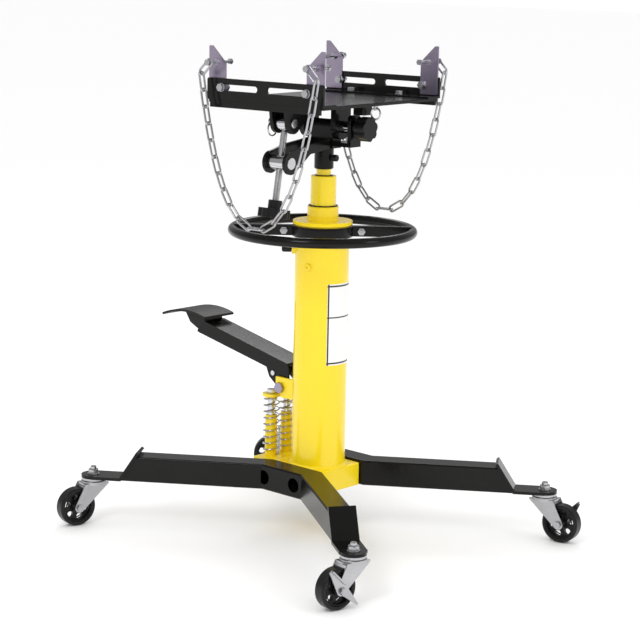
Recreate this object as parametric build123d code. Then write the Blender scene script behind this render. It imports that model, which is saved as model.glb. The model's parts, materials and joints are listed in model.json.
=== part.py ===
from build123d import *
import math
import os

# ------------------------------------------------------------------ driving dimensions (mm, degrees)
# clearances shared by every fit
RUN_GAP = 0.06        # radial clearance of a shaft that turns or slides in its hole
PRESS_GAP = 0.02      # radial clearance of pieces that are screwed or pressed together
BODY_GAP = 0.5        # free space between two moving bodies
KNOB_VALLEY = 0.87
KNOB_EDGE_R = 1.0     # rounding of a hand knob's rim

# base housing and column
HOUSING_MARGIN_X = 5.5     # housing in front of the column
HOUSING_MARGIN_Y = 6.5     # housing beside the column
HOUSING_BEHIND_PUMP = 14.0
HOUSING_LIFT = 1.0         # underside above the underside of the legs
HOUSING_H = 44.0
HOUSING_WALL = 6.0
HOUSING_DECK = 8.0
HOUSING_CORNER_R = 5.0
RESERVOIR_R = 52.5
RESERVOIR_WALL = 4.0
COLUMN_H = 473.0
COLUMN_WELD = 3.0
CAP_OVERHANG = 5.0
CAP_LIP_T = 1.5
CAP_THICK = 7.0
CAP_LIP_DROP = 2.5
CAP_SPIGOT = 10.0
PRESSURE_R = 35.0
PRESSURE_WALL = 4.0
GLAND_R = 30.0
GLAND_HEIGHT = 28.0
GLAND_SPIGOT_R = 27.0
GLAND_SPIGOT = 20.0

# two-stage ram
RAM_ONE_R = 24.5
RAM_ONE_WALL = 5.0
RAM_ONE_FOOT = 13.0        # lower end above the housing
RAM_ONE_SHOWS = 58.0       # upper end above the gland
RAM_ONE_HEAD = 18.0
RAM_TWO_R = 14.0
RAM_TWO_FOOT = 15.0
RAM_TWO_SHOWS = 42.0
PISTON_HEIGHT = 20.0

# leg frames
LEG_TUBE_W = 46.0
LEG_TUBE_H = 50.0
LEG_TUBE_WALL = 3.0
LEG_CORNER_R = 3.5
LEG_BEND_X = 58.5
CASTER_X = 345.0
CASTER_Y = 281.0
LEG_TOP_SHORT = 92.83    # caster stem to the upper corner of the slanted tube end
LEG_FOOT_SHORT = 60.83   # caster stem to the lower corner
CASTER_PLATE_T = 6.0
CASTER_PLATE_LIP = 8.0
CASTER_PLATE_HALF_W = 25.5
CASTER_PLATE_END_R = 24.0
LEG_BOLT_X = (-46.6, 32.6)
LEG_BOLT_R = 5.0
LEG_BOLT_HEX = 17.0
LEG_ACCESS_R = 14.0

# casters
WHEEL_R = 37.5
WHEEL_HALF_W = 12.0
WHEEL_HUB_R = 12.0
WHEEL_WEB_HALF = 4.0
WHEEL_RIM = 7.0
WHEEL_HOLE_R = 6.5
WHEEL_HOLE_CIRCLE = 21.0
WHEEL_TOP_GAP = 4.0
CASTER_TRAIL = 39.0
AXLE_R = 4.0
AXLE_HEX = 12.0
CHEEK_INSIDE = 15.0
CHEEK_T = 2.5
CHEEK_END_R = 10.0
CROWN_R = 24.5
CROWN_T = 3.6
LOWER_RACE_T = 3.8
UPPER_RACE_T = 5.6
STEM_R = 6.0
STEM_SHOWS = 16.0
BRAKE_T = 2.4
# brake lever corners (x, z) from the axle
BRAKE_TIP = ((29.0, 37.5), (24.0, 41.5), (-6.0, 12.5))
BRAKE_TAIL = ((-15.0, -0.5), (-36.0, -29.5), (-33.0, -32.0), (-5.0, -11.5), (11.0, -3.5))

# handle ring round the column
RING_INSIDE_CHAIN = 29.5   # middle of the ring's tube inside the chains' plane
RING_TUBE_R = 9.5
RING_DROP = 13.0           # below the top of the column
RING_BAR_H = 20.0
RING_BAR_T = 6.0
RING_BAR_GAP = 2.0
RING_BAR_TURN = 42.5
RING_BOLT_OUT = 22.0
RING_BOLT_R = 4.0

# foot pump
PIVOT_OUT = 19.5           # pivot outside the column's surface
PIVOT_UP = 144.0           # pivot above the housing
PIVOT_R = 6.0
EAR_INSIDE = 29.0
EAR_T = 6.0
EAR_R = 13.0
LEVER_HALF_W = 28.0
LEVER_T = 3.0
ROLLER_BACK = 26.0         # roller behind the pivot
ROLLER_UP = 24.0           # roller above the pivot
ROLLER_R = 12.0
ROLLER_PIN_R = 5.0
PUMP_BACK = 36.0           # pump behind the pivot
PUMP_Y = 22.0
PUMP_BARREL_R = 12.0
PUMP_BARREL_H = 81.0
PUMP_SPIGOT_R = 9.0
PUMP_SPIGOT = 24.0
PLUNGER_R = 8.0
PLUNGER_DEPTH = 42.0       # plunger inside its barrel
SEAT_UP = 38.0             # crosshead above the barrels
SEAT_T = 6.0
SEAT_MARGIN = 17.0
SPRING_R = 15.0
SPRING_WIRE_R = 1.6
SPRING_TURNS = 9.0
PAD_HALF_Y = 41.0
# (x, z) from the pivot: top edge of the lever, its lower edge, the pad's arch and the pad's wedge
LEVER_TOP = ((-224.0, 99.0), (10.0, 48.0))
LEVER_UNDER = ((15.0, 37.0), (15.0, 0.0), (10.0, -13.0), (-10.0, -13.0), (-18.0, 0.0),
               (-38.0, 15.0), (-46.0, 33.0), (-246.0, 75.0))
PAD_TOP = ((-335.0, 103.0), (-270.0, 118.0), (-209.0, 111.0))
PAD_UNDER = ((-208.0, 106.5), (-270.0, 113.5), (-333.0, 98.8))
PAD_WEDGE = ((-284.0, 114.0), (-268.0, 91.0), (-234.0, 75.0), (-198.0, 71.0), (-204.0, 90.0),
             (-224.0, 95.0), (-228.0, 113.0))

# release valve, vent and label on the column
VALVE_TURN = 222.5
VALVE_DROP = 50.0
VALVE_BOSS_R = 9.5
VALVE_BOSS_OUT = 6.0
VALVE_KNOB_R = 6.25
VALVE_KNOB_LENGTH = 19.0
VALVE_STEM_R = 3.0
VENT_TURN = -77.8
VENT_DROP = 78.0
VENT_R = 7.0
LABEL_TURN = 18.0
LABEL_SPAN = 105.0
LABEL_DROP = 110.0
LABEL_H = 158.0
LABEL_T = 0.4

# head on top of the ram
HEAD_TURN = 5.04
SOCKET_R = 18.5
SOCKET_UP = 13.0           # above the upper end of stage one
SOCKET_CLOSED = 12.0       # solid end above stage two
NECK_HALF_X = 30.0
NECK_HALF_Y = 13.5
TILT_UP = 41.0             # tilt axis above the socket
TILT_ROD_R = 8.0
TILT_SLEEVE_R = 11.5
ARM_INSIDE = 21.0
ARM_T = 5.5
ARM_END_R = 21.0
ARM_NECK_DROP = 22.0       # upper corner of the arms below the tilt axis
ARM_BEND_Y = -90.0         # where the upper edge bends
ARM_BEND_DROP = 30.0
ARM_WAIST_Y = -76.0        # where the lower edge bends
ARM_WAIST_DROP = 6.5       # below the socket's upper end
TRUNNION_Y = -132.9
TRUNNION_DOWN = 61.0
TRUNNION_R = 11.5
TRUNNION_SLACK = 1.6
CLEVIS_Y = -119.8
CLEVIS_UP = 12.0
CLEVIS_INSIDE = 14.0
CLEVIS_T = 6.5
CLEVIS_END_R = 20.0
CLEVIS_PIN_R = 9.0
CLEVIS_RING_OUT = 4.0      # ring outside the arms
SCREW_R = 6.0
SCREW_LENGTH = 176.0
SCREW_EYE_R = 14.0
SCREW_KNOB_R = 30.0
SCREW_KNOB_T = 17.0
SCREW_HUB_R = 13.0
SCREW_HUB_H = 16.0
BRACKET_INSIDE = 66.0
BRACKET_T = 8.0
BRACKET_HALF_Y = 16.0
BRACKET_DOWN = 36.0        # below the tilt axis
BRACKET_RISE = 24.0        # above the tilt axis
LOCK_KNOB_R = 23.5
LOCK_HUB_LENGTH = 10.0
LOCK_KNOB_T = 24.0
SPLIT_RING_R = 13.0
HANG_RING_R = 10.5
HANG_RING_IN = 16.0        # inside the saddle's end
SET_SCREW_UP = 22.0
SET_SCREW_R = 4.0

# saddle
SADDLE_HALF_X = 135.0
SADDLE_HALF_Y = 184.0
SADDLE_UP = 52.0           # above the tilt axis
SADDLE_T = 6.0
SADDLE_PAD_RISE = 1.0
SADDLE_LIP = 9.0           # turned down along each long side
SADDLE_CORNER_R = 6.0
SADDLE_PAD_MARGIN = 44.0
LUG_INSIDE = 32.0
LUG_T = 12.0
LUG_R = 23.5
RAIL_T = 5.0
RAIL_FOOT_W = 40.0
RAIL_FOOT_T = 4.0
RAIL_FOOT_BOLT_X = (-60.0, 56.0)
RAIL_UP = 39.0             # heights above the saddle
SLOT_UP = 22.3
SLOT_R = 5.75
SLOT_MARGIN = 30.0
SLOT_BRIDGE = (-15.0, 7.0)
END_PLATE_T = 3.0
END_PLATE_W = 40.0
END_PLATE_UP = 5.0
END_PLATE_SHOULDER_UP = 67.0
END_PLATE_TIP_UP = 98.0
END_PLATE_TIP_W = 7.5
END_BOLT_IN = 35.0
CHAIN_BOLT_IN = 20.0
CHAIN_BOLT_UP = 68.0
CHAIN_BOLT_R = 3.0
CHAIN_OUT = 17.0           # chains outside the rails
BOLT_R = 4.0               # rail and end plate bolts
BOLT_HEX = 13.0
WASHER_T = 1.6

# chains
LINK_WIRE_R = 2.0
LINK_WELD_R = 2.25         # thickened where an end link is welded shut
LINK_INSIDE_LENGTH = 32.0
LINK_INSIDE_WIDTH = 8.0
LINK_PITCH = 31.4
LINK_COUNT = 23
CHAIN_LEAN = 45.0          # end links lean outwards from upright
HANG_GAP = 0.2             # link's end above its bolt

# ------------------------------------------------------------------ values worked out from these
AXLE_Z = WHEEL_R
CROWN_BOTTOM = 2 * WHEEL_R + WHEEL_TOP_GAP
CROWN_TOP = CROWN_BOTTOM + CROWN_T
RACE_LOW_TOP = CROWN_TOP + LOWER_RACE_T
LEG_BOTTOM = RACE_LOW_TOP + UPPER_RACE_T
LEG_TOP = LEG_BOTTOM + LEG_TUBE_H
HOUSING_BOTTOM = LEG_BOTTOM + HOUSING_LIFT
HOUSING_TOP = HOUSING_BOTTOM + HOUSING_H
COLUMN_TOP = HOUSING_TOP + COLUMN_H
CAP_R = RESERVOIR_R + CAP_OVERHANG
CAP_LIP_R = RESERVOIR_R + CAP_LIP_T
GLAND_TOP = COLUMN_TOP + CAP_THICK + GLAND_HEIGHT

PIVOT_X = -(RESERVOIR_R + PIVOT_OUT)
PIVOT_Z = HOUSING_TOP + PIVOT_UP
ROLLER_X = PIVOT_X - ROLLER_BACK
ROLLER_Z = PIVOT_Z + ROLLER_UP
PUMP_X = PIVOT_X - PUMP_BACK
PUMP_BARREL_TOP = HOUSING_TOP + PUMP_BARREL_H
PLUNGER_BOTTOM = PUMP_BARREL_TOP - PLUNGER_DEPTH
SEAT_BOTTOM = PUMP_BARREL_TOP + SEAT_UP
SEAT_TOP = SEAT_BOTTOM + SEAT_T

HOUSING_BACK = PUMP_X - HOUSING_BEHIND_PUMP
HOUSING_FRONT = RESERVOIR_R + HOUSING_MARGIN_X
HOUSING_HALF_Y = RESERVOIR_R + HOUSING_MARGIN_Y
LEG_CENTRE_Y = HOUSING_HALF_Y + LEG_TUBE_W / 2
LEG_RUN = math.hypot(CASTER_X - LEG_BEND_X, CASTER_Y - LEG_CENTRE_Y)
LEG_SPLAY = math.degrees(math.atan2(CASTER_Y - LEG_CENTRE_Y, CASTER_X - LEG_BEND_X))
LEG_TOP_LENGTH = LEG_RUN - LEG_TOP_SHORT
LEG_FOOT_LENGTH = LEG_RUN - LEG_FOOT_SHORT
CHEEK_OUTSIDE = CHEEK_INSIDE + CHEEK_T

RAM_ONE_BOTTOM = HOUSING_TOP + RAM_ONE_FOOT
RAM_ONE_TOP = GLAND_TOP + RAM_ONE_SHOWS
RAM_TWO_BOTTOM = RAM_ONE_BOTTOM + RAM_TWO_FOOT
RAM_TWO_TOP = RAM_ONE_TOP + RAM_TWO_SHOWS
PISTON_ONE_R = PRESSURE_R - PRESSURE_WALL - RUN_GAP
PISTON_TWO_R = RAM_ONE_R - RAM_ONE_WALL - RUN_GAP

RING_Z = COLUMN_TOP - RING_DROP
VALVE_Z = COLUMN_TOP - VALVE_DROP
VENT_Z = COLUMN_TOP - VENT_DROP
LABEL_TOP = COLUMN_TOP - LABEL_DROP
LABEL_BOTTOM = LABEL_TOP - LABEL_H

SOCKET_BOTTOM = RAM_ONE_TOP + SOCKET_UP
SOCKET_TOP = RAM_TWO_TOP + SOCKET_CLOSED
SET_SCREW_Z = SOCKET_BOTTOM + SET_SCREW_UP
TILT_Z = SOCKET_TOP + TILT_UP
BRACKET_BOTTOM = TILT_Z - BRACKET_DOWN
BRACKET_TOP = TILT_Z + BRACKET_RISE
TRUNNION_Z = TILT_Z - TRUNNION_DOWN
CLEVIS_Z = TILT_Z + CLEVIS_UP
SCREW_LEAN = math.degrees(math.atan2(CLEVIS_Y - TRUNNION_Y, CLEVIS_Z - TRUNNION_Z))
LOCK_KNOB_START = BRACKET_INSIDE + BRACKET_T + LOCK_HUB_LENGTH

SADDLE_TOP = TILT_Z + SADDLE_UP
SADDLE_UNDER = SADDLE_TOP - SADDLE_T
SADDLE_PAD_HALF_Y = SADDLE_HALF_Y - SADDLE_PAD_MARGIN
RAIL_SEAT = SADDLE_TOP - SADDLE_PAD_RISE
RAIL_TOP = SADDLE_TOP + RAIL_UP
RAIL_OUTSIDE = SADDLE_HALF_Y + SADDLE_PAD_RISE
RAIL_INSIDE = RAIL_OUTSIDE - RAIL_T
SLOT_Z = SADDLE_TOP + SLOT_UP
SLOT_SPANS = ((SLOT_MARGIN - SADDLE_HALF_X, SLOT_BRIDGE[0]),
              (SLOT_BRIDGE[1], SADDLE_HALF_X - SLOT_MARGIN))
END_PLATE_IN = SADDLE_HALF_X - END_PLATE_W
END_PLATE_BOTTOM = SADDLE_TOP + END_PLATE_UP
END_PLATE_SHOULDER = SADDLE_TOP + END_PLATE_SHOULDER_UP
END_PLATE_TIP = SADDLE_TOP + END_PLATE_TIP_UP
END_BOLT_X = SADDLE_HALF_X - END_BOLT_IN
CHAIN_BOLT_X = SADDLE_HALF_X - CHAIN_BOLT_IN
CHAIN_BOLT_Z = SADDLE_TOP + CHAIN_BOLT_UP
HANG_RING_X = SADDLE_HALF_X - HANG_RING_IN
CHAIN_Y = RAIL_OUTSIDE + CHAIN_OUT
RING_R = CHAIN_Y - RING_INSIDE_CHAIN

# name: (corner x sign, corner y sign, direction the wheel trails in, has a brake)
CASTERS = {
    "left": (-1, -1, -103.0, False),
    "front": (1, -1, -99.0, True),
    "right": (1, 1, 10.0, True),
    "back": (-1, 1, -137.0, False),
}


# ------------------------------------------------------------------ helpers
def block(x0, x1, y0, y1, z0, z1):
    middle = Pos((x0 + x1) / 2, (y0 + y1) / 2, (z0 + z1) / 2)
    return middle * Box(x1 - x0, y1 - y0, z1 - z0)


def rod_x(y, z, x0, x1, r):
    return Pos((x0 + x1) / 2, y, z) * Rot(0, 90, 0) * Cylinder(r, abs(x1 - x0))


def rod_y(x, z, y0, y1, r):
    return Pos(x, (y0 + y1) / 2, z) * Rot(90, 0, 0) * Cylinder(r, abs(y1 - y0))


def rod_z(x, y, z0, z1, r):
    return Pos(x, y, (z0 + z1) / 2) * Cylinder(r, abs(z1 - z0))


def hex_z(x, y, z0, z1, across):
    outline = Pos(x, y, z0) * RegularPolygon(across / 2, 6, major_radius=False)
    return extrude(outline, z1 - z0, dir=(0, 0, 1))


def hex_y(x, z, y0, y1, across):
    return Pos(x, y0, z) * Rot(-90, 0, 0) * hex_z(0, 0, 0, y1 - y0, across)


def hex_x(y, z, x0, x1, across):
    return Pos(x0, y, z) * Rot(0, 90, 0) * hex_z(0, 0, 0, x1 - x0, across)


def plate_xy(points, z0, z1):
    outline = Polyline([(x, y, z0) for x, y in points], close=True)
    return extrude(make_face(outline), z1 - z0, dir=(0, 0, 1))


def plate_xz(points, y0, y1):
    outline = Polyline([(x, y0, z) for x, z in points], close=True)
    return extrude(make_face(outline), y1 - y0, dir=(0, 1, 0))


def plate_yz(points, x0, x1):
    outline = Polyline([(x0, y, z) for y, z in points], close=True)
    return extrude(make_face(outline), x1 - x0, dir=(1, 0, 0))


def mirrored_y(shape):
    return mirror(shape, about=Plane.XZ)


def mirrored_x(shape):
    return mirror(shape, about=Plane.YZ)


def lobed_knob(outer_r, thick, lobes):
    """A hand knob lying on z = 0, with a smooth wavy rim."""
    ratios = (1.0, 0.965, KNOB_VALLEY, 0.965)
    points = []
    for number in range(4 * lobes):
        r = outer_r * ratios[number % 4]
        angle = math.pi * number / (2 * lobes)
        points.append((r * math.cos(angle), r * math.sin(angle), 0))
    outline = make_face(Spline(points, periodic=True))
    knob = extrude(outline, thick, dir=(0, 0, 1))
    rims = [face.outer_wire().edges() for face in knob.faces().filter_by(GeomType.PLANE)]
    return fillet(rims[0] + rims[1], KNOB_EDGE_R)


# ------------------------------------------------------------------ base, legs and column
def base_housing():
    shell = block(HOUSING_BACK, HOUSING_FRONT, -HOUSING_HALF_Y, HOUSING_HALF_Y,
                  HOUSING_BOTTOM, HOUSING_TOP)
    shell = fillet(shell.edges().filter_by(Axis.Z), HOUSING_CORNER_R)
    shell = fillet(shell.edges().group_by(Axis.Z)[-1], 2)
    shell -= block(HOUSING_BACK + HOUSING_WALL, HOUSING_FRONT - HOUSING_WALL,
                   HOUSING_WALL - HOUSING_HALF_Y, HOUSING_HALF_Y - HOUSING_WALL,
                   HOUSING_BOTTOM - 1, HOUSING_TOP - HOUSING_DECK)
    for side in (-1, 1):
        shell -= rod_z(PUMP_X, side * PUMP_Y, HOUSING_BOTTOM, HOUSING_TOP + 1,
                       PUMP_SPIGOT_R + PRESS_GAP)
        for x in LEG_BOLT_X:
            shell -= rod_y(x, LEG_BOTTOM + LEG_TUBE_H / 2, side * (HOUSING_HALF_Y - 8),
                           side * (HOUSING_HALF_Y + 1), LEG_BOLT_R + PRESS_GAP)
    return shell


def pump_manifold():
    top = HOUSING_TOP - HOUSING_DECK
    body = block(HOUSING_BACK + HOUSING_WALL + 2, PUMP_X + 44, -40, 40, HOUSING_BOTTOM + 4, top)
    body = fillet(body.edges().filter_by(Axis.Z), 3)
    for side in (-1, 1):
        body -= rod_z(PUMP_X, side * PUMP_Y, HOUSING_TOP - PUMP_SPIGOT - 1, top + 1,
                      PUMP_SPIGOT_R + PRESS_GAP)
    return body


def leg_strip(half_width, z0, z1, reach):
    """Plan outline of one leg frame, on the +y side, as a prism with mitred bends."""
    lean = math.tan(math.radians(LEG_SPLAY / 2))
    cos_a = math.cos(math.radians(LEG_SPLAY))
    sin_a = math.sin(math.radians(LEG_SPLAY))
    far_x = LEG_BEND_X + reach * cos_a
    far_y = LEG_CENTRE_Y + reach * sin_a
    right = [
        (LEG_BEND_X + half_width * lean, LEG_CENTRE_Y - half_width),
        (far_x + half_width * sin_a, far_y - half_width * cos_a),
        (far_x - half_width * sin_a, far_y + half_width * cos_a),
        (LEG_BEND_X - half_width * lean, LEG_CENTRE_Y + half_width),
    ]
    left = [(-x, y) for x, y in reversed(right)]
    return plate_xy(right + left, z0, z1)


def on_leg(shape, sign):
    """Moves a piece drawn with s along x and the bend at the origin onto the +x or -x leg."""
    placed = Pos(LEG_BEND_X, LEG_CENTRE_Y, 0) * Rot(0, 0, LEG_SPLAY) * shape
    return placed if sign > 0 else mirrored_x(placed)


def leg_end_cut():
    slope = (LEG_FOOT_LENGTH - LEG_TOP_LENGTH) / LEG_TUBE_H
    far = LEG_RUN + 200
    points = [
        (LEG_TOP_LENGTH - 2 * slope, LEG_TOP + 2),
        (LEG_FOOT_LENGTH + 2 * slope, LEG_BOTTOM - 2),
        (far, LEG_BOTTOM - 2),
        (far, LEG_TOP + 2),
    ]
    return plate_xz(points, -LEG_TUBE_W, LEG_TUBE_W)


def caster_plate():
    """The bent plate that closes the tube's slanted end and carries the caster."""
    run = LEG_FOOT_LENGTH - LEG_TOP_LENGTH
    length = math.hypot(run, LEG_TUBE_H)
    down = (run / length, -LEG_TUBE_H / length)
    out = (-down[1] * CASTER_PLATE_T, down[0] * CASTER_PLATE_T)
    lip = (LEG_TOP_LENGTH - down[0] * CASTER_PLATE_LIP, LEG_TOP - down[1] * CASTER_PLATE_LIP)
    top = LEG_BOTTOM + CASTER_PLATE_T
    steps = (lip[1] + out[1] - top) / -down[1]
    tip = LEG_RUN + CASTER_PLATE_END_R
    points = [
        lip,
        (LEG_FOOT_LENGTH, LEG_BOTTOM),
        (tip, LEG_BOTTOM),
        (tip, top),
        (lip[0] + out[0] + down[0] * steps, top),
        (lip[0] + out[0], lip[1] + out[1]),
    ]
    plate = plate_xz(points, -CASTER_PLATE_HALF_W, CASTER_PLATE_HALF_W)
    outline = block(0, LEG_RUN, -CASTER_PLATE_HALF_W, CASTER_PLATE_HALF_W, 0, 2 * LEG_TOP)
    outline += rod_z(LEG_RUN, 0, 0, 2 * LEG_TOP, CASTER_PLATE_END_R)
    plate &= outline
    plate -= rod_z(LEG_RUN, 0, LEG_BOTTOM - 1, top + 1, STEM_R + PRESS_GAP)
    return plate


def leg_frame(side):
    reach = LEG_RUN + 60
    solid = leg_strip(LEG_TUBE_W / 2, LEG_BOTTOM, LEG_TOP, reach)
    ends = solid.edges().group_by(Axis.Z)
    solid = fillet(ends[0] + ends[-1], LEG_CORNER_R)
    solid -= leg_strip(LEG_TUBE_W / 2 - LEG_TUBE_WALL, LEG_BOTTOM + LEG_TUBE_WALL,
                       LEG_TOP - LEG_TUBE_WALL, reach + 60)
    middle = LEG_BOTTOM + LEG_TUBE_H / 2
    for x in LEG_BOLT_X:
        solid -= rod_y(x, middle, LEG_CENTRE_Y, HOUSING_HALF_Y + LEG_TUBE_W + 1, LEG_ACCESS_R)
        solid -= rod_y(x, middle, HOUSING_HALF_Y - 1, LEG_CENTRE_Y, LEG_BOLT_R + PRESS_GAP)
    for sign in (-1, 1):
        solid -= on_leg(leg_end_cut(), sign)
    for sign in (-1, 1):
        solid += on_leg(caster_plate(), sign)
    return solid if side > 0 else mirrored_y(solid)


def leg_bolts():
    pieces = []
    z = LEG_BOTTOM + LEG_TUBE_H / 2
    seat = HOUSING_HALF_Y + LEG_TUBE_WALL
    for x in LEG_BOLT_X:
        bolt = rod_y(x, z, HOUSING_HALF_Y - 18, seat, LEG_BOLT_R)
        bolt += rod_y(x, z, seat, seat + 1.8, 10.5)
        bolt += hex_y(x, z, seat + 1.8, seat + 9, LEG_BOLT_HEX)
        inside = HOUSING_HALF_Y - HOUSING_WALL
        nut = hex_y(x, z, inside - 8, inside, LEG_BOLT_HEX)
        nut -= rod_y(x, z, inside - 9, inside + 1, LEG_BOLT_R + PRESS_GAP)
        pieces += [bolt, nut, mirrored_y(bolt), mirrored_y(nut)]
    return Compound(pieces)


def reservoir_tube():
    inside = RESERVOIR_R - RESERVOIR_WALL
    tube = rod_z(0, 0, HOUSING_TOP, COLUMN_TOP, RESERVOIR_R)
    weld = rod_z(0, 0, HOUSING_TOP, HOUSING_TOP + 5, RESERVOIR_R + COLUMN_WELD)
    tube += chamfer(weld.edges().group_by(Axis.Z)[-1], COLUMN_WELD - 0.2)
    boss = rod_x(0, 0, inside + 1, RESERVOIR_R + VALVE_BOSS_OUT, VALVE_BOSS_R)
    tube += Pos(0, 0, VALVE_Z) * Rot(0, 0, VALVE_TURN) * boss
    tube -= rod_z(0, 0, HOUSING_TOP - 1, COLUMN_TOP + 1, inside)
    bore = rod_x(0, 0, inside - 2, RESERVOIR_R + VALVE_BOSS_OUT + 1, VALVE_STEM_R + RUN_GAP)
    tube -= Pos(0, 0, VALVE_Z) * Rot(0, 0, VALVE_TURN) * bore
    hole = rod_x(0, 0, inside - 2, RESERVOIR_R + 2, VENT_R - 1.5 + PRESS_GAP)
    tube -= Pos(0, 0, VENT_Z) * Rot(0, 0, VENT_TURN) * hole
    return tube


def pressure_tube():
    top = COLUMN_TOP - CAP_SPIGOT
    tube = rod_z(0, 0, HOUSING_TOP, top, PRESSURE_R)
    return tube - rod_z(0, 0, HOUSING_TOP - 1, top + 1, PRESSURE_R - PRESSURE_WALL)


def top_cap():
    flange = rod_z(0, 0, COLUMN_TOP, COLUMN_TOP + CAP_THICK, CAP_R)
    flange = fillet(flange.edges(), 1.2)
    lip = rod_z(0, 0, COLUMN_TOP - CAP_LIP_DROP, COLUMN_TOP + 2, CAP_LIP_R)
    lip -= rod_z(0, 0, COLUMN_TOP - 3 * CAP_LIP_DROP, COLUMN_TOP, RESERVOIR_R + PRESS_GAP)
    spigot = rod_z(0, 0, COLUMN_TOP - CAP_SPIGOT, COLUMN_TOP + 2,
                   RESERVOIR_R - RESERVOIR_WALL - PRESS_GAP)
    cap = flange + lip + spigot
    return cap - rod_z(0, 0, 0, GLAND_TOP, GLAND_SPIGOT_R + PRESS_GAP)


def gland_collar():
    seat = COLUMN_TOP + CAP_THICK
    collar = rod_z(0, 0, seat, GLAND_TOP, GLAND_R)
    collar = chamfer(collar.edges().group_by(Axis.Z)[-1], 2)
    collar += rod_z(0, 0, seat - GLAND_SPIGOT, seat + 1, GLAND_SPIGOT_R)
    return collar - rod_z(0, 0, 0, GLAND_TOP + 1, RAM_ONE_R + RUN_GAP)


def vent_plug():
    plug = rod_x(0, 0, RESERVOIR_R - RESERVOIR_WALL, RESERVOIR_R + 1, VENT_R - 1.5)
    plug += fillet(rod_x(0, 0, RESERVOIR_R - 0.1, RESERVOIR_R + 4, VENT_R).edges(), 1.5)
    plug -= rod_x(0, 0, RESERVOIR_R + 2.2, RESERVOIR_R + 5, 2.2)
    wall = rod_z(0, 0, -20, 20, RESERVOIR_R) - rod_x(0, 0, 0, 99, VENT_R - 1.5)
    plug -= wall
    return Pos(0, 0, VENT_Z) * Rot(0, 0, VENT_TURN) * plug


def blank_label():
    sheet = rod_z(0, 0, LABEL_BOTTOM, LABEL_TOP, RESERVOIR_R + LABEL_T)
    sheet -= rod_z(0, 0, LABEL_BOTTOM - 1, LABEL_TOP + 1, RESERVOIR_R + PRESS_GAP)
    reach = 3 * RESERVOIR_R
    half = math.radians(LABEL_SPAN / 2)
    wedge = [(0, 0), (reach * math.cos(half), -reach * math.sin(half)),
             (reach * math.cos(half), reach * math.sin(half))]
    return Rot(0, 0, LABEL_TURN) * (sheet & plate_xy(wedge, LABEL_BOTTOM - 2, LABEL_TOP + 2))


def release_knob():
    start = RESERVOIR_R + VALVE_BOSS_OUT + BODY_GAP
    knob = rod_x(0, 0, start, start + VALVE_KNOB_LENGTH, VALVE_KNOB_R)
    knob = fillet(knob.edges().group_by(Axis.X)[-1], 4)
    knob += rod_x(0, 0, RESERVOIR_R - RESERVOIR_WALL - 1, start + 1, VALVE_STEM_R)
    return Pos(0, 0, VALVE_Z) * Rot(0, 0, VALVE_TURN) * knob


# ------------------------------------------------------------------ handle ring
def handle_ring():
    return Pos(0, 0, RING_Z) * Torus(RING_R, RING_TUBE_R)


def ring_clamp():
    """Two flat bars, each bent half round the column, that carry the ring."""
    inner = RESERVOIR_R + PRESS_GAP
    outer = inner + RING_BAR_T
    reach = RING_R + 2
    near = RING_BAR_GAP / 2
    low = RING_Z - RING_BAR_H / 2
    high = RING_Z + RING_BAR_H / 2
    half = rod_z(0, 0, low, high, outer)
    half += block(-reach, reach, near, near + RING_BAR_T, low, high)
    half &= block(-2 * reach, 2 * reach, near, 2 * reach, low, high)
    half -= rod_z(0, 0, low - 1, high + 1, inner)
    half -= Pos(0, 0, RING_Z) * Torus(RING_R, RING_TUBE_R)
    outside = rod_z(0, 0, low - 1, high + 1, 2 * reach)
    outside -= rod_z(0, 0, low - 2, high + 2, RING_R)
    half -= outside
    for sign in (-1, 1):
        half -= rod_y(sign * ring_bolt_x(), RING_Z, 0, 2 * RING_BAR_H, RING_BOLT_R + PRESS_GAP)
    half = [s for s in half.solids() if s.volume > 100][0]
    halves = [half, mirrored_y(half)]
    return Rot(0, 0, RING_BAR_TURN) * Compound(halves)


def ring_bolt_x():
    return RESERVOIR_R + RING_BOLT_OUT


def ring_clamp_bolts():
    pieces = []
    face = RING_BAR_GAP / 2 + RING_BAR_T
    for sign in (-1, 1):
        x = sign * ring_bolt_x()
        bolt = rod_y(x, RING_Z, -face - 10, face, RING_BOLT_R)
        bolt += hex_y(x, RING_Z, face, face + 5.5, BOLT_HEX)
        nut = hex_y(x, RING_Z, -face - 6.5, -face, BOLT_HEX)
        nut -= rod_y(x, RING_Z, -face - 8, 0, RING_BOLT_R + PRESS_GAP)
        pieces += [bolt, nut]
    return Rot(0, 0, RING_BAR_TURN) * Compound(pieces)


# ------------------------------------------------------------------ foot pump
def lever_ears():
    ears = []
    inner = EAR_INSIDE
    outer = EAR_INSIDE + EAR_T
    for side in (-1, 1):
        y0, y1 = sorted((side * inner, side * outer))
        ear = block(PIVOT_X, -RESERVOIR_R / 2, y0, y1, PIVOT_Z - 20, PIVOT_Z + 20)
        ear += rod_y(PIVOT_X, PIVOT_Z, y0, y1, EAR_R)
        ear += block(PIVOT_X - EAR_R, PIVOT_X, y0, y1, PIVOT_Z - 7, PIVOT_Z + 20)
        ear -= rod_z(0, 0, 0, COLUMN_TOP, RESERVOIR_R + PRESS_GAP)
        ear -= rod_y(PIVOT_X, PIVOT_Z, y0 - 1, y1 + 1, PIVOT_R + PRESS_GAP)
        ears.append(ear)
    return Compound(ears)


def lever_pivot_bolt():
    outer = EAR_INSIDE + EAR_T
    bolt = rod_y(PIVOT_X, PIVOT_Z, -outer, outer + 9, PIVOT_R)
    bolt += hex_y(PIVOT_X, PIVOT_Z, -outer - 7, -outer, 19)
    nut = hex_y(PIVOT_X, PIVOT_Z, outer, outer + 7, 19)
    nut -= rod_y(PIVOT_X, PIVOT_Z, outer - 1, outer + 9, PIVOT_R + PRESS_GAP)
    return Compound([bolt, nut])


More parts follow.
